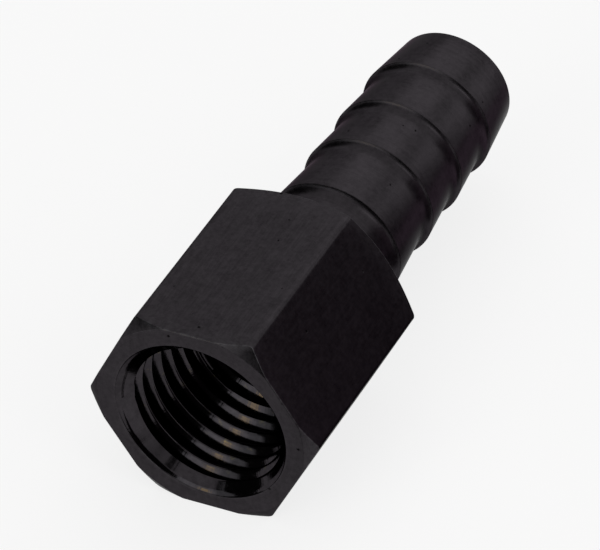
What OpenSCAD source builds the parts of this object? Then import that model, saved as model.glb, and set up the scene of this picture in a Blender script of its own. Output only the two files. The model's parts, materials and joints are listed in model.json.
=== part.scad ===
// Hose barb fitting: a hexagonal body with a tapped mouth, and a barbed tail that
// a hose is pushed over. It is turned from one length of hexagon bar.
// The X axis is the fitting's own axis. The origin is on it at the mouth face,
// +X runs to the tip of the tail, and one flat of the hexagon faces down.

/* [Hexagon] */
// Width across the flats of the hexagon
hex_af = 15.875; // [14:0.125:22.25]
// Length of the hexagon along the axis
hex_len = 16.75; // [14:0.25:30]
// Radius along the six long edges
edge_r = 0.5; // [0.1:0.1:1.2]
// How far the chamfer at the mouth reaches in from the sharp corners
mouth_chamfer = 1; // [0.3:0.1:1.2]
// How far the chamfer at the tail end reaches in from the sharp corners
tail_chamfer = 1.4; // [0.3:0.1:2]
// Angle of both chamfers from the end faces
chamfer_angle = 32; // [15:1:45]

/* [Tapped mouth] */
// Drilled diameter of the tapped hole, at the crests of its thread
tap_drill_d = 11.12; // [8:0.04:11.6]
// Diameter of the countersink at the mouth face
mouth_d = 13.16; // [12:0.04:13.8]
// Included angle of the countersink
mouth_angle = 60; // [50:5:100]
// Included angle of the drill point at the bottom of the hole
drill_point_angle = 118; // [90:2:140]
// Metal between the drill point's small end and the tail end of the hexagon
web = 2; // [1.5:0.25:4]

/* [Hose tail] */
// Diameter of the passage through the tail
bore_d = 7.14; // [4:0.02:7.4]
// Diameter of the plain neck behind the hexagon
neck_d = 9.7; // [9.1:0.1:10]
// Length of the neck
neck_len = 4.5; // [2:0.25:10]
// Fillet between the neck and the hexagon
neck_fillet_r = 0.5; // [0.1:0.1:1.2]
// Number of barbs
barb_count = 4; // [2:1:7]
// Diameter over the sharp rim of each barb
rim_d = 10.62; // [10.3:0.02:11]
// Diameter over the rim of the heel barb, the one beside the neck
heel_rim_d = 10.8; // [10.3:0.02:11]
// Diameter at the small end of each barb, where the next one rises
root_d = 9.66; // [9:0.02:10]
// Length of the heel barb
heel_barb_len = 5.7; // [4:0.1:8]
// Length of each barb between the heel and the nose
barb_len = 4.95; // [3:0.05:7]
// Length of the nose barb, which the hose meets first
nose_barb_len = 5.05; // [3:0.05:8]
// Diameter at the tip of the nose barb
nose_d = 9.34; // [8.8:0.02:10]
// Radius in the corner at the foot of each rim
root_fillet_r = 0.4; // [0.1:0.05:0.6]
// Chamfer round the outside of the tip
tip_chamfer = 0.3; // [0.1:0.05:0.6]
// Chamfer round the passage at the tip
bore_chamfer = 0.3; // [0.1:0.05:0.5]

/* [Hidden] */
$fn = 128;
// A cut runs this far past the face that it opens
over = 1;
// A fillet's metal runs this far into the metal on each side of it
bite = 0.1;
// A round crosses the sides that it blends into by this much, to meet them cleanly
dip = 0.001;
corner_r = hex_af / 2 / cos(30);
// Centre of the round on a long edge, from the axis
edge_centre_r = (hex_af / 2 - edge_r + dip) / cos(30);
point_len = (tap_drill_d - bore_d) / 2 / tan(drill_point_angle / 2);
// Where the full drilled diameter ends
drill_end_x = hex_len - web - point_len;
mouth_slope = tan(mouth_angle / 2);
mouth_len = (mouth_d - tap_drill_d) / 2 / mouth_slope;
heel_x = hex_len + neck_len;
tail_end_x = rim_x(barb_count - 1) + nose_barb_len;
// No fillet takes up more than this share of the step that it stands against
fillet_share = 0.8;

function is_heel(k) = k == 0;
function is_nose(k) = k == barb_count - 1;
// Place along the axis, length, rim radius and small-end radius of barb k
function rim_x(k) = is_heel(k) ? heel_x : heel_x + heel_barb_len + (k - 1) * barb_len;
function length_of(k) = is_nose(k) ? nose_barb_len : is_heel(k) ? heel_barb_len : barb_len;
function rim_r(k) = (is_heel(k) ? heel_rim_d : rim_d) / 2;
function small_r(k) = (is_nose(k) ? nose_d : root_d) / 2;
// Radius that the rim of barb k rises from, and the taper of what lies before it
function foot_r(k) = is_heel(k) ? neck_d / 2 : small_r(k - 1);
function taper_before(k) = is_heel(k) ? 0 : atan((rim_r(k - 1) - small_r(k - 1)) / length_of(k - 1));

// Turned solids are drawn as half sections, radius across and X up, then spun
// about the axis and laid down along X
module turned() {
    rotate([0, 90, 0]) rotate_extrude() children();
}

// A straight-sided band of the half section, from radius ra at xa to rb at xb
module band(xa, ra, xb, rb) {
    polygon([[0, xa], [ra, xa], [rb, xb], [0, xb]]);
}

// Metal left by the round nose of the tool in an inside corner at [r, x]. One side
// of the corner is a face square to the axis. The other runs away along the axis
// towards side, -1 or 1, and opens outwards by taper degrees
module inside_corner(r, x, radius, taper, side) {
    reach = (radius - dip) / tan((90 - taper) / 2);
    centre = [r + reach, x + side * (radius - dip)];
    // Points past the two places where the round meets the sides
    past_face = [r + reach, x - side * bite];
    past_side = centre + (radius + bite) * [-cos(taper), side * sin(taper)];
    difference() {
        polygon([past_face, centre, past_side, [past_side[0], past_face[1]]]);
        translate(centre) circle(r = radius);
    }
}

// What the round on a long edge takes off the sharp corner that points along +X
module sharp_corner() {
    difference() {
        translate([edge_centre_r + edge_r * cos(30), -edge_r]) square([over, 2 * edge_r]);
        translate([edge_centre_r, 0]) circle(r = edge_r);
    }
}

// Cross section of the hexagon bar, with a flat at the bottom once it is laid down
module bar_section() {
    difference() {
        rotate(30) circle(r = corner_r, $fn = 6);
        for (k = [0:5]) rotate(60 * k + 30) sharp_corner();
    }
}

// What the two chamfers leave of the bar
module chamfered_envelope() {
    drop = tan(chamfer_angle);
    mouth_r = corner_r - mouth_chamfer;
    back_r = corner_r - tail_chamfer;
    wide = corner_r + over;
    turned() polygon([
        [0, 0],
        [mouth_r, 0],
        [wide, (wide - mouth_r) * drop],
        [wide, hex_len - (wide - back_r) * drop],
        [back_r, hex_len],
        [0, hex_len]
    ]);
}

module hexagon_body() {
    intersection() {
        rotate([0, 90, 0]) linear_extrude(hex_len) bar_section();
        chamfered_envelope();
    }
}

module barb(k) {
    x = rim_x(k);
    end = x + length_of(k);
    cut = is_nose(k) ? tip_chamfer : 0;
    slope = (rim_r(k) - small_r(k)) / length_of(k);
    band(x, rim_r(k), end - cut, small_r(k) + cut * slope);
    if (cut > 0)
        band(end - cut, small_r(k) + cut * slope, end, small_r(k) - cut);
    rise = rim_r(k) - foot_r(k);
    inside_corner(foot_r(k), x, min(root_fillet_r, fillet_share * rise), taper_before(k), -1);
}

module hose_tail() {
    turned() {
        band(hex_len - over, neck_d / 2, heel_x, neck_d / 2);
        inside_corner(neck_d / 2, hex_len, neck_fillet_r, 0, 1);
        for (k = [0:barb_count - 1]) barb(k);
    }
}

// Countersink, tapping hole, drill point and passage
module bores() {
    turned() {
        band(-over, mouth_d / 2 + over * mouth_slope, mouth_len, tap_drill_d / 2);
        band(drill_end_x, tap_drill_d / 2, hex_len - web, bore_d / 2);
        band(tail_end_x - bore_chamfer, bore_d / 2, tail_end_x + over, bore_d / 2 + bore_chamfer + over);
    }
    rotate([0, 90, 0]) cylinder(d = tap_drill_d, h = drill_end_x);
    rotate([0, 90, 0]) cylinder(d = bore_d, h = tail_end_x + over);
}

module fitting() {
    color([0.13, 0.12, 0.13]) difference() {
        union() {
            hexagon_body();
            hose_tail();
        }
        bores();
    }
}

fitting();
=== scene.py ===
"""Looks of the hose barb fitting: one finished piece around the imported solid."""

import json
import math

import bmesh
import bpy
import numpy as np
from mathutils import Matrix, Vector


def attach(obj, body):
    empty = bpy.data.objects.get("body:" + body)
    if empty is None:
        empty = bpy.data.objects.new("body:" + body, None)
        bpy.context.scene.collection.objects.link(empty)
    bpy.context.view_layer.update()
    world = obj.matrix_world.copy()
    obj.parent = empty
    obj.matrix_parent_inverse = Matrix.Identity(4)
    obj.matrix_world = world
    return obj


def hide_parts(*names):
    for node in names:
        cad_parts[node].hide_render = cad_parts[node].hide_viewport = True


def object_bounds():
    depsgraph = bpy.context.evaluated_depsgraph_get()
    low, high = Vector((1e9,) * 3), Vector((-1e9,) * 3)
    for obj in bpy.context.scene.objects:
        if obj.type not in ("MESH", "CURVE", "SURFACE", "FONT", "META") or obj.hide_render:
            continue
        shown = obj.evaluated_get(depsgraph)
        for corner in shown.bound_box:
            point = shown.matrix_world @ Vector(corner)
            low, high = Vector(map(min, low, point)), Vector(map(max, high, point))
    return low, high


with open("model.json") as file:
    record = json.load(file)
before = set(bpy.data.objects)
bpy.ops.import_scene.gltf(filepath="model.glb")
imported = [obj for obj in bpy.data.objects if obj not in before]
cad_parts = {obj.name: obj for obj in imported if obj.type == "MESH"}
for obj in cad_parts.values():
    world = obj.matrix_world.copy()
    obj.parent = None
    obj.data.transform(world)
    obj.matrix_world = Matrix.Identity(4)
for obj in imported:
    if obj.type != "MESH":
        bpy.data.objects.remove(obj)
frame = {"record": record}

CAD_LOW, CAD_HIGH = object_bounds()

# Lengths are in millimetres until a mesh, a lamp or the camera is made, and angles are
# written in degrees. X is the fitting's axis, with x = 0 at the mouth face
MM = 0.001
TURN = 2 * math.pi
COS_30 = math.cos(math.radians(30))
mounts = {m["name"]: m for m in frame["record"]["mounts"]}

# Hexagon
FLAT = -CAD_LOW.z / MM
CORNER = FLAT / COS_30
SIDES = 6
# Half the angle that one side takes up round the axis
HALF_SIDE = 180 / SIDES
HEX_LEN = 16.75
LONG_EDGE_R = 0.5
LONG_EDGE_CENTRE = (FLAT - LONG_EDGE_R) / COS_30
FRONT_CHAMFER = 1.0
BACK_CHAMFER = 1.4
CHAMFER_ANGLE = 32
EDGE_ROUND = 0.11
# Two rows on the tail end's face: a share of the way out to its chamfer, and a circle
BACK_FACE_SHARE = 0.95
BACK_FACE_R = 6.85

# Tapped mouth: a steep chamfer at the face, the countersink behind it and the thread.
# A slope is the radius lost per length. The thread's rows start at CONE_X
DRILL_R = mounts["thread"]["dims"]["r_mm"]
MOUTH_R = 6.8
MOUTH_SLOPE = 1.357
MOUTH_ROUND = 0.04
# The middle of the round at the hole's edge, as a share of its radius from either end
MIDDLE_OF_ROUND = 0.3
CONE_R = 6.7
CONE_SLOPE = math.tan(math.radians(42))
CONE_X = 0.3
PITCH = 1.411
THREAD_TAPER = 1 / 32
THREAD_DEPTH = 1.12
TIP_R0 = 5.65
TIP_ROUND = 0.12
ROOT_HALF = 0.06
FLANK_ANGLE = 27
# The tap leaned on the bottom of the hole, where its flanks lie flatter by this much
FLANK_LEAN = 9
LEAN_THETA = math.radians(-110)
FIRST_CREST_X = 2.17
# How far the crests have crept inwards at the mouth, and how soon that fades
ENTRY_DRIFT = 0.45
ENTRY_FADE = 1.3
# Turns from the first crest to where the thread begins and where it is at full depth
THREAD_START = -0.8
FULL_THREAD_START = -0.4
# Where along the axis its full depth, its runout, its rows and the tapping drill's full
# diameter end
FULL_THREAD_END = 9.6
THREAD_END = 12.4
THREAD_STOP = 12.9
DRILL_END_X = 13.55

# Passage and hose tail
PASSAGE_R = mounts["passage"]["dims"]["r_mm"]
PASSAGE_X = 14.75
TIP_X = CAD_HIGH.x / MM
TIP_R = 4.67
TIP_CHAMFER = 0.3
NECK_R = 4.85
NECK_FILLET = 0.5
HEEL_X = 21.25
HEEL_R = 5.4
RIM_R = 5.31
ROOT_R = 4.83
# Rims of the barbs after the heel
RIM_X = (26.95, 31.9, 36.85)
# The face under a rim rises at this slope. The hollow at its foot starts this far before
# it and takes this share of its height
RIM_FACE = math.tan(math.radians(64))
HOLLOW_START = 1.1
HOLLOW_SHARE = 0.86
RIM_ROUND = 0.06
# Rounds on the edges of the tip's two chamfers, from the outside in
TIP_ROUNDS = (0.12, 0.1, 0.06, 0.06)
PASSAGE_ROUND = 0.05
DRILL_ROUND = 0.04
# What stands less than this outside the passage counts as inside it
PASSAGE_MARGIN = 0.01

# How finely the mesh is cut
CORNER_STEPS = 3
FLAT_STEPS = 54
LENGTH_STEPS = 11
CONE_STEPS = 5
ARC_POINTS = 5
# Rows on the mouth face, as shares of the way from the hole's edge to the chamfer
FACE_SHARES = (0.1, 0.35, 0.65, 0.9)
# Rows beside the edge of a thread's crest, as shares of the way from there to the root
# and to the middle of the crest
FLANK_SHARES = (0.25, 0.06)
CREST_SHARES = (0.3, 0.65)
# Points nearer than the first are merged, and edges shorter than the second dissolved
MERGE_DISTANCE = 0.002
SHORTEST_EDGE = 0.0005
SHARP_ANGLE = math.radians(38)

# What the rows of the mesh say about their looks
LOOKS = ("wear", "crest", "turned", "bore")
# Wear over the rows of a chamfer, from the end face out to the flats, and over the round
# at the hole's edge, from inside out
CHAMFER_WEAR = (0, 0.3, 0.3, 0, 0.2, 0.9, 1, 0.9, 0.1)
MOUTH_WEAR = (0.3, 0.1)
# A crest is marked as whole where it stands this far clear of the countersink
WHOLE_CREST = 0.1


def column_angles():
    """Angles round the axis from +Y towards +Z, with both ends of the turn."""
    bends = np.radians(np.linspace(0, HALF_SIDE, CORNER_STEPS + 1))
    arc = np.arctan2(LONG_EDGE_R * np.sin(bends), LONG_EDGE_CENTRE + LONG_EDGE_R * np.cos(bends))
    sixth = TURN / SIDES
    flat = np.linspace(arc[-1], sixth - arc[-1], FLAT_STEPS + 1)[1:-1]
    side = np.concatenate([arc, flat, sixth - arc[:0:-1]])
    return np.concatenate([side + k * sixth for k in range(SIDES)] + [[TURN]])


def bar_reach(theta):
    """Distance from the axis to the side of the hexagon bar."""
    sixth = TURN / SIDES
    off = np.minimum(theta % sixth, sixth - theta % sixth)
    flat = FLAT / np.cos(sixth / 2 - off)
    inside = np.maximum(LONG_EDGE_R**2 - (LONG_EDGE_CENTRE * np.sin(off)) ** 2, 0)
    arc = LONG_EDGE_CENTRE * np.cos(off) + np.sqrt(inside)
    tangent = math.atan2(LONG_EDGE_R / 2, LONG_EDGE_CENTRE + LONG_EDGE_R * COS_30)
    return np.where(off < tangent, arc, flat)


def chamfered_corner(reach, chamfer_r, face_x, inward):
    """Rows over the chamfer between an end face and the flats, its edges rounded.

    inward is 1 at the mouth face and -1 at the tail end. Rows run from the face out.
    """
    tilt = math.radians(CHAMFER_ANGLE)
    face_r = chamfer_r - EDGE_ROUND * (1 - math.cos(tilt)) / math.sin(tilt)
    side_r = reach - EDGE_ROUND
    side_x = ((side_r - chamfer_r) * math.sin(tilt) + EDGE_ROUND) / math.cos(tilt)
    cut = side_x > EDGE_ROUND
    first_r = np.where(cut, np.minimum(face_r, side_r), side_r)
    second_x = np.where(cut, side_x, EDGE_ROUND)
    rows = []
    for angle in np.linspace(0, tilt, ARC_POINTS - 1):
        x = EDGE_ROUND - EDGE_ROUND * math.cos(angle)
        rows.append((face_x + inward * x, first_r + EDGE_ROUND * math.sin(angle)))
    for angle in np.linspace(tilt, math.pi / 2, ARC_POINTS):
        x = second_x - EDGE_ROUND * math.cos(angle)
        rows.append((face_x + inward * x, side_r + EDGE_ROUND * math.sin(angle)))
    return rows


def arc_points(at, back, ahead, radius):
    """An arc that blends the two sides of a corner. back and ahead run along them."""
    back, ahead = back / np.linalg.norm(back), ahead / np.linalg.norm(ahead)
    half = math.acos(np.clip(back @ ahead, -1, 1)) / 2
    tangent = radius / math.tan(half)
    centre = at + (back + ahead) / np.linalg.norm(back + ahead) * tangent / math.cos(half)
    start, end = at + back * tangent - centre, at + ahead * tangent - centre
    sweep = math.pi - 2 * half
    points = []
    for share in np.linspace(0, 1, ARC_POINTS):
        blend = math.sin((1 - share) * sweep) * start + math.sin(share * sweep) * end
        points.append(centre + blend / math.sin(sweep))
    return points


def hollow_points(at, back, ahead):
    """The long hollow in the corner under a rim, which rises more and more steeply."""
    start = at + back / np.linalg.norm(back) * HOLLOW_START
    end = at + ahead * HOLLOW_SHARE
    shares = np.linspace(0, 1, 2 * ARC_POINTS - 1)
    return [(1 - s) ** 2 * start + 2 * s * (1 - s) * at + s**2 * end for s in shares]


def half_section(corners):
    """Points of the line through corners (x, r, radius), each blended with an arc, or
    with the hollow under a rim where its radius is None."""
    points = [np.array(corner[:2], float) for corner in corners]
    drawn = [points[0]]
    for before, at, after, corner in zip(points, points[1:], points[2:], corners[1:]):
        back, ahead, radius = before - at, after - at, corner[2]
        if radius is None:
            drawn += hollow_points(at, back, ahead)
        else:
            drawn += arc_points(at, back, ahead, radius)
    return drawn + [points[-1]]


def mouth_r(x):
    """Radius at x of the steep chamfer and of the countersink behind it."""
    return np.maximum(CONE_R - x * CONE_SLOPE, MOUTH_R - x * MOUTH_SLOPE)


def tip_r(x):
    """Where the flanks of a thread would meet if its crest were sharp."""
    return TIP_R0 - x * THREAD_TAPER


def groove_r(x, turns):
    """How deep the thread is cut at x, with its start in the mouth and its runout."""
    floor = np.maximum(mouth_r(x), DRILL_R)
    start = np.clip((turns - THREAD_START) / (FULL_THREAD_START - THREAD_START), 0, 1)
    end = np.clip((THREAD_END - x) / (THREAD_END - FULL_THREAD_END), 0, 1)
    return floor + (tip_r(x) + THREAD_DEPTH - floor) * start * end


def wall_r(x, middle, turns, flank):
    """Radius of the tapped wall at x, beside the crest that stands at middle."""
    off = np.abs(x - middle)
    arc = 2 * TIP_ROUND - np.sqrt(np.maximum(TIP_ROUND**2 - off**2, 0))
    rise = np.where(off < TIP_ROUND * COS_30, arc, off / flank)
    crest = np.maximum(tip_r(x) + rise, DRILL_R)
    return np.maximum(mouth_r(x), np.minimum(crest, groove_r(x, turns + (x > middle))))


def tooth_rows(theta, number):
    """Rows over one turn of the thread, from the root before its crest to the root after.
    Where the countersink cuts the crest off, they crowd at the two edges of the cut."""
    turns = number + theta / TURN
    lean = FLANK_LEAN * np.maximum(np.cos(theta - LEAN_THETA), 0)
    flank = np.tan(np.radians(FLANK_ANGLE + lean))
    middle = FIRST_CREST_X + PITCH * turns
    middle = middle + ENTRY_DRIFT * np.exp(-np.maximum(middle, 0) / ENTRY_FADE)
    tip, half = tip_r(middle), PITCH / 2 - ROOT_HALF
    before = (tip + middle / flank - CONE_R) / (1 / flank - CONE_SLOPE)
    after = (CONE_R - tip + middle / flank) / (1 / flank + CONE_SLOPE)
    round_x = TIP_ROUND * COS_30
    before = np.clip(before, middle - half, middle - round_x)
    after = np.clip(after, middle + round_x, middle + half)
    whole = np.clip((tip + TIP_ROUND - mouth_r(middle)) / WHOLE_CREST, 0, 1)
    places = [(middle - PITCH / 2, 0), (middle - half, 0), ((middle - half + before) / 2, 0)]
    places += [(before + s * (middle - half - before), whole) for s in FLANK_SHARES]
    places += [(before + s * (middle - before), whole) for s in CREST_SHARES + (1,)]
    places += [(after + s * (middle - after), whole) for s in CREST_SHARES[::-1]]
    places += [(after + s * (middle + half - after), whole) for s in FLANK_SHARES[::-1]]
    places += [((middle + half + after) / 2, 0), (middle + half, 0)]
    return [(x, wall_r(x, middle, turns, flank), crest) for x, crest in places]


def row(x, r, wear=0, crest=0, turned=1, bore=0):
    """A ring of points. Its last four values are the LOOKS there: how worn it is, on a
    thread's crest or not, turned or drawn, and inside a hole or outside."""
    return x, r, wear, crest, turned, bore


def mouth_rows(reach):
    """The mouth face, from the round at the hole's edge to the chamfer of the flats."""
    inner = mouth_r(MOUTH_ROUND) + MOUTH_ROUND
    middle = MIDDLE_OF_ROUND * MOUTH_ROUND
    rows = [row(middle, inner - MOUTH_ROUND + middle, wear=MOUTH_WEAR[0], bore=1)]
    rows.append(row(0, inner, wear=MOUTH_WEAR[1]))
    chamfer = chamfered_corner(reach, CORNER - FRONT_CHAMFER, 0, 1)
    outer = chamfer[0][1]
    rows += [row(0, inner + share * (outer - inner)) for share in FACE_SHARES]
    return rows + [row(x, r, wear) for (x, r), wear in zip(chamfer, CHAMFER_WEAR)]


def hexagon_rows(reach, start_x):
    """The flats from start_x, and the chamfer and face at their tail end."""
    chamfer = chamfered_corner(reach, CORNER - BACK_CHAMFER, HEX_LEN, -1)
    end_x = chamfer[-1][0]
    shares = np.linspace(0, 1, LENGTH_STEPS + 1)[1:-1]
    rows = [row(start_x + s * (end_x - start_x), reach, turned=0) for s in shares]
    rows += [row(x, r, wear) for (x, r), wear in zip(chamfer[::-1], CHAMFER_WEAR[::-1])]
    return rows + [row(HEX_LEN, chamfer[0][1] * BACK_FACE_SHARE)]


def tail_rows():
    """The neck, the barbs, the tip, and the passage as far as the end of the thread."""
    corners = [(HEX_LEN, BACK_FACE_R, 0), (HEX_LEN, NECK_R, NECK_FILLET)]
    foot = NECK_R
    for x, rim in [(HEEL_X, HEEL_R)] + [(x, RIM_R) for x in RIM_X]:
        corners += [(x - (rim - foot) / RIM_FACE, foot, None), (x, rim, RIM_ROUND)]
        foot = ROOT_R
    slope = (RIM_R - TIP_R) / (TIP_X - RIM_X[-1])
    corners += [
        (TIP_X - TIP_CHAMFER, TIP_R + TIP_CHAMFER * slope, TIP_ROUNDS[0]),
        (TIP_X, TIP_R - TIP_CHAMFER, TIP_ROUNDS[1]),
        (TIP_X, PASSAGE_R + TIP_CHAMFER, TIP_ROUNDS[2]),
        (TIP_X - TIP_CHAMFER, PASSAGE_R, TIP_ROUNDS[3]),
        (PASSAGE_X, PASSAGE_R, PASSAGE_ROUND),
        (DRILL_END_X, DRILL_R, DRILL_ROUND),
        (THREAD_STOP, DRILL_R, 0),
    ]
    inside = PASSAGE_R + PASSAGE_MARGIN
    return [row(x, r, bore=float(r < inside)) for x, r in half_section(corners)[:-1]]


def bore_rows(theta):
    """Rows of the tapped hole from its mouth to its stop. Each turn of the helix ends
    one row pattern further in than it began, and rows past either end pile up there."""
    cone = np.linspace(MOUTH_ROUND, CONE_X, CONE_STEPS + 1)[:-1]
    rows = [row(x, mouth_r(x), bore=1) for x in cone]
    first = math.floor((CONE_X - FIRST_CREST_X) / PITCH - 0.5)
    last = math.ceil((THREAD_STOP - FIRST_CREST_X) / PITCH - 0.5)
    for number in range(first, last + 1):
        for x, r, crest in tooth_rows(theta, number):
            out, deep = x < CONE_X, x > THREAD_STOP
            r = np.where(out, mouth_r(CONE_X), np.where(deep, DRILL_R, r))
            rows.append(row(np.clip(x, CONE_X, THREAD_STOP), r, crest=crest, bore=1))
    return rows


def fitting_mesh():
    """The fitting as one closed mesh, with the looks of its rows stored on the vertices.
    Its rows run over the mouth face and the outside, and back through the inside."""
    theta = column_angles()
    reach = bar_reach(theta)
    rows = mouth_rows(reach)
    rows += hexagon_rows(reach, rows[-1][0])
    rows += tail_rows() + bore_rows(theta)[::-1]
    count, columns = len(rows), len(theta)
    grid = np.zeros((len(rows[0]), count, columns))
    for j, values in enumerate(rows):
        for k, value in enumerate(values):
            grid[k, j] = value
    x, r = grid[:2]
    places = np.stack([x, r * np.cos(theta), r * np.sin(theta)], axis=-1) * MM
    index = np.arange(count * columns).reshape(count, columns)
    ahead = np.roll(index, -1, axis=0)
    faces = np.stack([index[:, :-1], index[:, 1:], ahead[:, 1:], ahead[:, :-1]], axis=-1)

    mesh = bpy.data.meshes.new("fitting_finish")
    mesh.from_pydata(places.reshape(-1, 3), [], faces.reshape(-1, 4))
    for name, values in zip(LOOKS, grid[2:]):
        layer = mesh.attributes.new(name, "FLOAT", "POINT")
        layer.data.foreach_set("value", values.astype(np.float32).ravel())
    shape = bmesh.new()
    shape.from_mesh(mesh)
    bmesh.ops.remove_doubles(shape, verts=shape.verts, dist=MERGE_DISTANCE * MM)
    bmesh.ops.dissolve_degenerate(shape, edges=shape.edges, dist=SHORTEST_EDGE * MM)
    bmesh.ops.recalc_face_normals(shape, faces=shape.faces)
    shape.to_mesh(mesh)
    shape.free()
    return mesh


class Tree:
    """Adds nodes to a material or the world. A node's input is a value or another node's
    output."""

    def __init__(self, owner):
        self.nodes, self.links = owner.node_tree.nodes, owner.node_tree.links

    def node(self, kind, inputs, output=0, **settings):
        made = self.nodes.new(kind)
        for name, value in settings.items():
            setattr(made, name, value)
        for name, value in inputs.items():
            self.feed(made.inputs[name], value)
        return made.outputs[output]

    def feed(self, socket, value):
        if isinstance(value, bpy.types.NodeSocket):
            self.links.new(value, socket)
        else:
            socket.default_value = value

    def math(self, operation, *values):
        return self.node("ShaderNodeMath", dict(enumerate(values)), operation=operation)

    def total(self, first, *others):
        for other in others:
            first = self.math("ADD", first, other)
        return first

    def product(self, first, *others):
        for other in others:
            first = self.math("MULTIPLY", first, other)
        return first

    def vector(self, operation, *values):
        output = 1 if operation in ("DOT_PRODUCT", "LENGTH") else 0
        inputs = dict(enumerate(values))
        return self.node("ShaderNodeVectorMath", inputs, output, operation=operation)

    def scaled(self, colour, tone):
        inputs = {0: colour, "Scale": tone}
        return self.node("ShaderNodeVectorMath", inputs, operation="SCALE")

    def noise(self, place, scale, detail, roughness, dimensions="3D"):
        inputs = {"Scale": scale, "Detail": detail, "Roughness": roughness}
        inputs["W" if dimensions == "1D" else "Vector"] = place
        return self.node("ShaderNodeTexNoise", inputs, noise_dimensions=dimensions)

    def ramp(self, value, low, high, to_low=0, to_high=1):
        """value from low to high becomes to_low to to_high, smoothly, and stays within them."""
        inputs = {0: value, 1: low, 2: high, 3: to_low, 4: to_high}
        return self.node("ShaderNodeMapRange", inputs, interpolation_type="SMOOTHSTEP")

    def mix(self, share, first, second):
        return self.node("ShaderNodeMix", {0: share, 6: first, 7: second}, 2, data_type="RGBA")

    def attribute(self, name):
        return self.node("ShaderNodeAttribute", {}, "Fac", attribute_name=name)

    def position(self):
        return self.node("ShaderNodeTexCoord", {}, "Object")

    def surface(self, shader):
        self.feed(self.nodes["Material Output"].inputs["Surface"], shader)


# Colours of the finish, the last one for what mirrors at a grazing angle
BLACK = (0.0325, 0.0291, 0.0325)
WORN = (0.062, 0.06, 0.064, 1)
BRASS = (0.065, 0.056, 0.04, 1)
GRAZING = (0.45, 0.45, 0.45, 1)

# Noise patterns: how fine each is per millimetre, its octaves and its roughness
CLOUD = (0.55, 3, 0.5)
MOTTLE = (2.6, 5, 0.62)
GRIT = (9, 3, 0.7)
GRAIN = (1, 4, 0.6)
RINGS = (6, 5, 0.7)
CHATTER = (1, 2, 0.6)
BRASS_PATCHES = (1.7, 4, 0.7)
NOISE_MEAN = 0.5
# Drawing lines are finer by this much in x, y and z. Turning marks lean outwards by
# this much along the axis per length across, and chatter has so many marks a radian
GRAIN_STRETCH = (0.35, 7, 7)
RING_LEAN = 1.3
CHATTER_MARKS = 26

# Noise values between which the wear and the brass go from least to most
WEAR_NOISE = (0.38, 0.6)
LEAST_WEAR = 0.25
BRASS_NOISE = (0.58, 0.72)

# Roughness: the range of the noise that is read, the roughness at its ends, and what is
# added in the holes and in the pits
ROUGH_NOISE = (0.25, 0.75)
ROUGH = (0.27, 0.35)
BORE_ROUGH = -0.21
PIT_ROUGH = 0.2

# Tone: the range of the noise that is read, and how far each pattern makes the tone
# lighter and darker. A pit leaves PIT_TONE of it
TONE_NOISE = (0.3, 0.7)
CLOUD_TONE = (0.93, 1.07)
MOTTLE_TONE = 0.14
GRAIN_TONE = 0.09
RING_TONE = 0.07
GRIT_TONE = 0.06
PIT_TONE = 0.25

# How high each pattern stands, in millimetres
MOTTLE_RISE = 0.0016
GRIT_RISE = 0.0007
GRAIN_RISE = 0.0010
RING_RISE = 0.0014
CHATTER_RISE = 0.004
PIT_DEPTH = 0.02

# Pits: cells per millimetre, and the random numbers of the cells that have one. The rest
# is in cells: the largest radius, how ragged it is, and where the edge fades
PIT_CELLS = 0.85
PIT_PICK = (0.62, 1.0)
PIT_RADIUS = 0.1
PIT_WOBBLE = 0.12
PIT_EDGE = (-0.02, 0.03)


def surface_patterns(tree):
    """The patterns that the finish is mixed from, worked out from the place in millimetres."""
    place = tree.vector("MULTIPLY", tree.position(), (1 / MM,) * 3)
    radius = tree.vector("LENGTH", tree.vector("MULTIPLY", place, (0, 1, 1)))
    parts = tree.node("ShaderNodeSeparateXYZ", {0: place}).node.outputs
    angle = tree.math("ARCTAN2", parts["Z"], parts["Y"])
    along = tree.total(parts["X"], tree.product(radius, RING_LEAN))
    patterns = {
        "cloud": tree.noise(place, *CLOUD),
        "mottle": tree.noise(place, *MOTTLE),
        "grit": tree.noise(place, *GRIT),
        "grain": tree.noise(tree.vector("MULTIPLY", place, GRAIN_STRETCH), *GRAIN),
        "rings": tree.noise(along, *RINGS, "1D"),
        "chatter": tree.noise(tree.product(angle, CHATTER_MARKS), *CHATTER, "1D"),
        "brass": tree.noise(place, *BRASS_PATCHES),
    }
    for name in LOOKS:
        patterns[name] = tree.attribute(name)
    patterns["flat"] = tree.math("SUBTRACT", 1, patterns["turned"])
    patterns["pits"] = pit_pattern(tree, place, patterns)
    return patterns


def pit_pattern(tree, place, patterns):
    """Small ragged pits scattered over the outside."""
    cells = {"Vector": place, "Scale": PIT_CELLS, "Randomness": 1}
    distance = tree.node("ShaderNodeTexVoronoi", cells, "Distance")
    colour = tree.node("ShaderNodeTexVoronoi", cells, "Color")
    pick = tree.node("ShaderNodeSeparateColor", {0: colour})
    size = tree.ramp(pick, *PIT_PICK, 0.0, PIT_RADIUS)
    wobble = tree.product(tree.math("SUBTRACT", patterns["grit"], NOISE_MEAN), PIT_WOBBLE)
    inside = tree.math("SUBTRACT", size, tree.total(distance, wobble))
    outside = tree.math("SUBTRACT", 1, patterns["bore"])
    return tree.product(tree.ramp(inside, *PIT_EDGE), outside)


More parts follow.
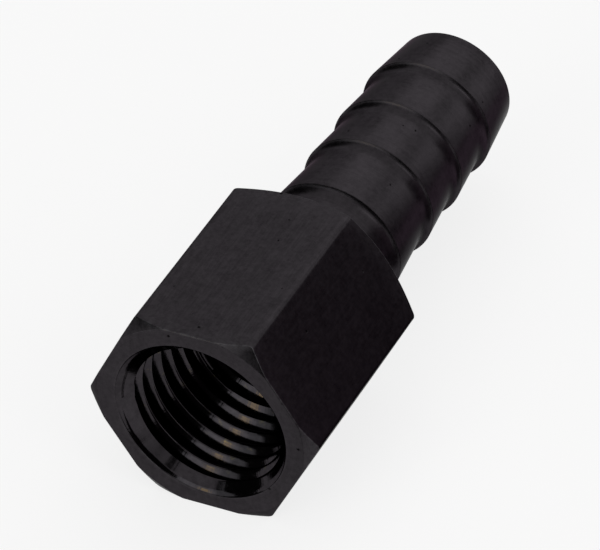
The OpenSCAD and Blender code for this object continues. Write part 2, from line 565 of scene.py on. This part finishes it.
def finish_colour(tree, patterns):
    """Near-black, worn paler on the edges, with a little brass on the thread's crests."""

    def swing(name, reach):
        return tree.ramp(patterns[name], *TONE_NOISE, -reach, reach)

    tone = tree.total(
        tree.ramp(patterns["cloud"], *TONE_NOISE, *CLOUD_TONE),
        swing("mottle", MOTTLE_TONE),
        tree.product(patterns["flat"], swing("grain", GRAIN_TONE)),
        tree.product(patterns["turned"], swing("rings", RING_TONE)),
        swing("grit", GRIT_TONE),
    )
    tone = tree.product(tone, tree.ramp(patterns["pits"], 0, 1, 1, PIT_TONE))
    breakup = tree.ramp(patterns["mottle"], *WEAR_NOISE, LEAST_WEAR, 1)
    worn = tree.product(patterns["wear"], breakup)
    brass = tree.product(patterns["crest"], tree.ramp(patterns["brass"], *BRASS_NOISE))
    colour = tree.mix(worn, tree.scaled(BLACK, tone), WORN)
    return tree.mix(brass, colour, BRASS)


def finish_roughness(tree, patterns):
    """Satin, smoother in the holes and duller in the pits."""
    return tree.total(
        tree.ramp(patterns["mottle"], *ROUGH_NOISE, *ROUGH),
        tree.product(patterns["bore"], BORE_ROUGH),
        tree.product(patterns["pits"], PIT_ROUGH),
    )


def finish_bump(tree, patterns):
    """Drawing lines on the flats, turning marks, chatter in the holes, and pits."""
    height = tree.total(
        tree.product(patterns["mottle"], MOTTLE_RISE),
        tree.product(patterns["grit"], GRIT_RISE),
        tree.product(patterns["grain"], patterns["flat"], GRAIN_RISE),
        tree.product(patterns["rings"], patterns["turned"], RING_RISE),
        tree.product(patterns["chatter"], patterns["bore"], CHATTER_RISE),
        tree.product(patterns["pits"], -PIT_DEPTH),
    )
    return tree.node("ShaderNodeBump", {"Height": height, "Distance": MM, "Strength": 1})


def blackened_brass():
    """Near-black satin finish over brass."""
    material = bpy.data.materials.new("blackened_brass")
    material.use_nodes = True
    tree = Tree(material)
    shader = tree.nodes["Principled BSDF"]
    patterns = surface_patterns(tree)
    tree.feed(shader.inputs["Base Color"], finish_colour(tree, patterns))
    tree.feed(shader.inputs["Roughness"], finish_roughness(tree, patterns))
    tree.feed(shader.inputs["Normal"], finish_bump(tree, patterns))
    shader.inputs["Metallic"].default_value = 1
    shader.inputs["Specular Tint"].default_value = GRAZING
    return material


def make_fitting():
    """The finished piece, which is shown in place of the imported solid."""
    piece = bpy.data.objects.new("fitting_finish", fitting_mesh())
    bpy.context.scene.collection.objects.link(piece)
    piece.data.materials.append(blackened_brass())
    piece.data.shade_smooth()
    piece.data.set_sharp_from_angle(angle=SHARP_ANGLE)
    weighted = piece.modifiers.new("face_weight", "WEIGHTED_NORMAL")
    weighted.keep_sharp = True
    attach(piece, "root")
    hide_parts("fitting")


# Stage: radiance of the surroundings, and the directions that are dark. Each of these
# is an azimuth, an elevation, and the angles from there at which the dark starts to
# fade and has gone
PALE_TONE = 0.78
DARK_TONE = 0.02
DARK_PATCHES = [
    (-159, 11, 21, 24),
    (-149, 43, 6, 9),
    (117, 20, 27, 31),
    (93, 25, 22, 28),
]

# Floor, just under the fitting. FLOOR_WHITE is the share of white in what is seen of it
FLOOR_HALF = 3000
FLOOR_GREY = (0.93, 0.93, 0.93, 1)
FLOOR_ROUGH = 0.9
FLOOR_WHITE = 0.8
FLOOR_Z = CAD_LOW.z / MM

# Lamps, all this far from LOOK_AT. Their widths and heights are angles as seen from there
LAMP_DISTANCE = 600
LAMPS = {
    "softbox_top": {"azimuth": 2, "elevation": 36, "width": 38, "height": 22, "radiance": 0.65},
    "softbox_left": {"azimuth": 46, "elevation": 20, "width": 26, "height": 30, "radiance": 0.17},
    "softbox_side": {"azimuth": -34, "elevation": 10, "width": 8, "height": 22, "radiance": 1.0},
    "softbox_front": {
        "azimuth": 158,
        "elevation": 23,
        "width": 44,
        "height": 34,
        "radiance": 0.9,
        "colour": (0.94, 1, 0.99),
    },
    "softbox_right": {"azimuth": -112, "elevation": 35, "width": 14, "height": 30, "radiance": 1.2},
    "bulb": {
        "azimuth": 159,
        "elevation": 25,
        "width": 7,
        "height": 8,
        "radiance": 2.7,
        "colour": (1, 0.7, 0.15),
    },
}

# Cards that only reflections see. The foot of each lies just above the floor. Where it
# has a top, it also stands on the last edge of its foot, up to that z. Its tone goes from
# the first of its tones to the second as x goes through its span
CARD_TINT = (1, 0.77, 0.94)
CARD_FLOOR_Z = FLOOR_Z + 0.2
CARDS = {
    "flag_side": {
        "foot": [(14, -28), (76, -28), (76, -50), (-14, -50)],
        "top": 24,
        "tones": (0.25, 0.13),
        "span": (20, 52),
    },
    "flag_side_floor": {"foot": [(4, -11), (34, -11), (34, -28), (0, -28)], "tones": (0.08, 0.08)},
    "flag_tail": {"foot": [(34, -8), (64, -8), (64, -28), (34, -28)], "tones": (0.68, 0.68)},
    "flag_back": {"foot": [(34, 10), (90, 18), (90, 80), (20, 60)], "tones": (0.4, 0.4)},
    "flag_front": {"foot": [(-27, -27), (-38, 14)], "top": 3.5},
    "flag_floor": {"foot": [(-7, -3.4), (-34, -10.9), (-27, -27), (-14, -14)]},
}

# Where the photograph was taken from, and its scale. PICTURE is its size in pixels, and
# VANISHING is the pixel that the camera's axis meets
LOOK_AT = Vector((14, 0, 0)) * MM
AZIMUTH = 30.754
ELEVATION = 39.416
ROLL = 6.332
DISTANCE = 371.711
PIXELS_PER_MM = 13.897
PICTURE = (600, 550)
VANISHING = (289.288, 303.068)
SENSOR = 36
CLIP = (10, 10_000)


def make_camera():
    """The photograph's camera."""
    az, el, roll = (math.radians(a) for a in (AZIMUTH, ELEVATION, ROLL))
    ahead = Vector((math.cos(az) * math.cos(el), math.sin(az) * math.cos(el), -math.sin(el)))
    level = Vector((math.sin(az), -math.cos(az), 0))
    upright = level.cross(ahead)
    right = level * math.cos(roll) - upright * math.sin(roll)
    up = level * math.sin(roll) + upright * math.cos(roll)
    data = bpy.data.cameras.new("camera")
    data.sensor_width = SENSOR
    data.lens = PIXELS_PER_MM * DISTANCE / PICTURE[0] * SENSOR
    data.shift_x = (PICTURE[0] / 2 - VANISHING[0]) / PICTURE[0]
    data.shift_y = (VANISHING[1] - PICTURE[1] / 2) / PICTURE[0]
    data.clip_start, data.clip_end = (distance * MM for distance in CLIP)
    camera = bpy.data.objects.new("camera", data)
    turned = Matrix((right, up, -ahead)).transposed().to_4x4()
    camera.matrix_world = Matrix.Translation(LOOK_AT - ahead * DISTANCE * MM) @ turned
    bpy.context.scene.collection.objects.link(camera)
    bpy.context.scene.camera = camera


def toward(azimuth, elevation):
    """Unit vector from the object, with azimuth from +X towards +Y."""
    az, el = math.radians(azimuth), math.radians(elevation)
    return Vector((math.cos(az) * math.cos(el), math.sin(az) * math.cos(el), math.sin(el)))


def stage_object(name, corners, faces):
    """A flat thing of the stage, and the tree of its material, which has the same name."""
    mesh = bpy.data.meshes.new(name)
    mesh.from_pydata([tuple(v * MM for v in corner) for corner in corners], [], faces)
    thing = bpy.data.objects.new(name, mesh)
    bpy.context.scene.collection.objects.link(thing)
    material = bpy.data.materials.new(name)
    material.use_nodes = True
    mesh.materials.append(material)
    return thing, Tree(material)


def make_floor():
    """A pale floor. Seen straight or mirrored it is near white, under the fitting's own shadow."""
    ends = ((-1, -1), (1, -1), (1, 1), (-1, 1))
    corners = [(x * FLOOR_HALF, y * FLOOR_HALF, FLOOR_Z) for x, y in ends]
    floor, tree = stage_object("floor", corners, [(0, 1, 2, 3)])
    shader = tree.nodes["Principled BSDF"]
    shader.inputs["Base Color"].default_value = FLOOR_GREY
    shader.inputs["Roughness"].default_value = FLOOR_ROUGH
    shader.inputs["Specular IOR Level"].default_value = 0.0
    rays = tree.nodes.new("ShaderNodeLightPath").outputs
    seen = tree.math("MAXIMUM", rays["Is Camera Ray"], rays["Is Glossy Ray"])
    seen = tree.math("MAXIMUM", seen, rays["Is Transmission Ray"])
    share = tree.product(seen, FLOOR_WHITE)
    white = tree.node("ShaderNodeEmission", {})
    both = {0: share, 1: shader.outputs[0], 2: white}
    tree.surface(tree.node("ShaderNodeMixShader", both))


def make_card(name, foot, top=None, tones=(DARK_TONE, DARK_TONE), span=(0, 1)):
    """A dark or grey card, plain dark where no tones are given."""
    corners = [(x, y, CARD_FLOOR_Z) for x, y in foot]
    if top is not None:
        corners += [(x, y, top) for x, y in foot[:-3:-1]]
    faces = [(0, 1, 2, 3), (3, 2, 5, 4)][: len(corners) // 2 - 1]
    card, tree = stage_object(name, corners, faces)
    tree.nodes.remove(tree.nodes["Principled BSDF"])
    x = tree.node("ShaderNodeSeparateXYZ", {0: tree.position()})
    tone = tree.ramp(x, span[0] * MM, span[1] * MM, *tones)
    tree.surface(tree.node("ShaderNodeEmission", {"Color": tree.scaled(CARD_TINT, tone)}))
    card.visible_camera = False
    card.visible_diffuse = False
    card.visible_shadow = False


def make_lamp(name, azimuth, elevation, width, height, radiance, colour=(1, 1, 1)):
    """A softbox that faces the object."""
    distance = LAMP_DISTANCE * MM
    data = bpy.data.lights.new(name, "AREA")
    data.shape = "RECTANGLE"
    data.size = 2 * distance * math.tan(math.radians(width / 2))
    data.size_y = 2 * distance * math.tan(math.radians(height / 2))
    data.color = colour
    data.energy = radiance * math.pi * data.size * data.size_y
    lamp = bpy.data.objects.new(name, data)
    direction = toward(azimuth, elevation)
    lamp.location = LOOK_AT + direction * distance
    lamp.rotation_mode = "QUATERNION"
    lamp.rotation_quaternion = direction.to_track_quat("Z", "Y")
    lamp.visible_camera = False
    bpy.context.scene.collection.objects.link(lamp)


def make_world():
    """Pale surroundings with dark sides, where the camera and the unlit room are."""
    world = bpy.data.worlds.new("studio")
    bpy.context.scene.world = world
    world.use_nodes = True
    tree = Tree(world)
    direction = tree.node("ShaderNodeTexCoord", {}, "Generated")
    tone = PALE_TONE
    for azimuth, elevation, inner, outer in DARK_PATCHES:
        along = tree.vector("DOT_PRODUCT", direction, toward(azimuth, elevation))
        edges = [math.cos(math.radians(a)) for a in (outer, inner)]
        pale = tree.ramp(along, *edges, 1, 0)
        above_dark = tree.math("SUBTRACT", tone, DARK_TONE)
        tone = tree.total(DARK_TONE, tree.product(pale, above_dark))
    tree.feed(tree.nodes["Background"].inputs["Color"], tone)


bpy.context.scene.view_settings.view_transform = "Standard"
make_camera()
make_fitting()
make_floor()
make_world()
for name, lamp in LAMPS.items():
    make_lamp(name, **lamp)
for name, card in CARDS.items():
    make_card(name, **card)
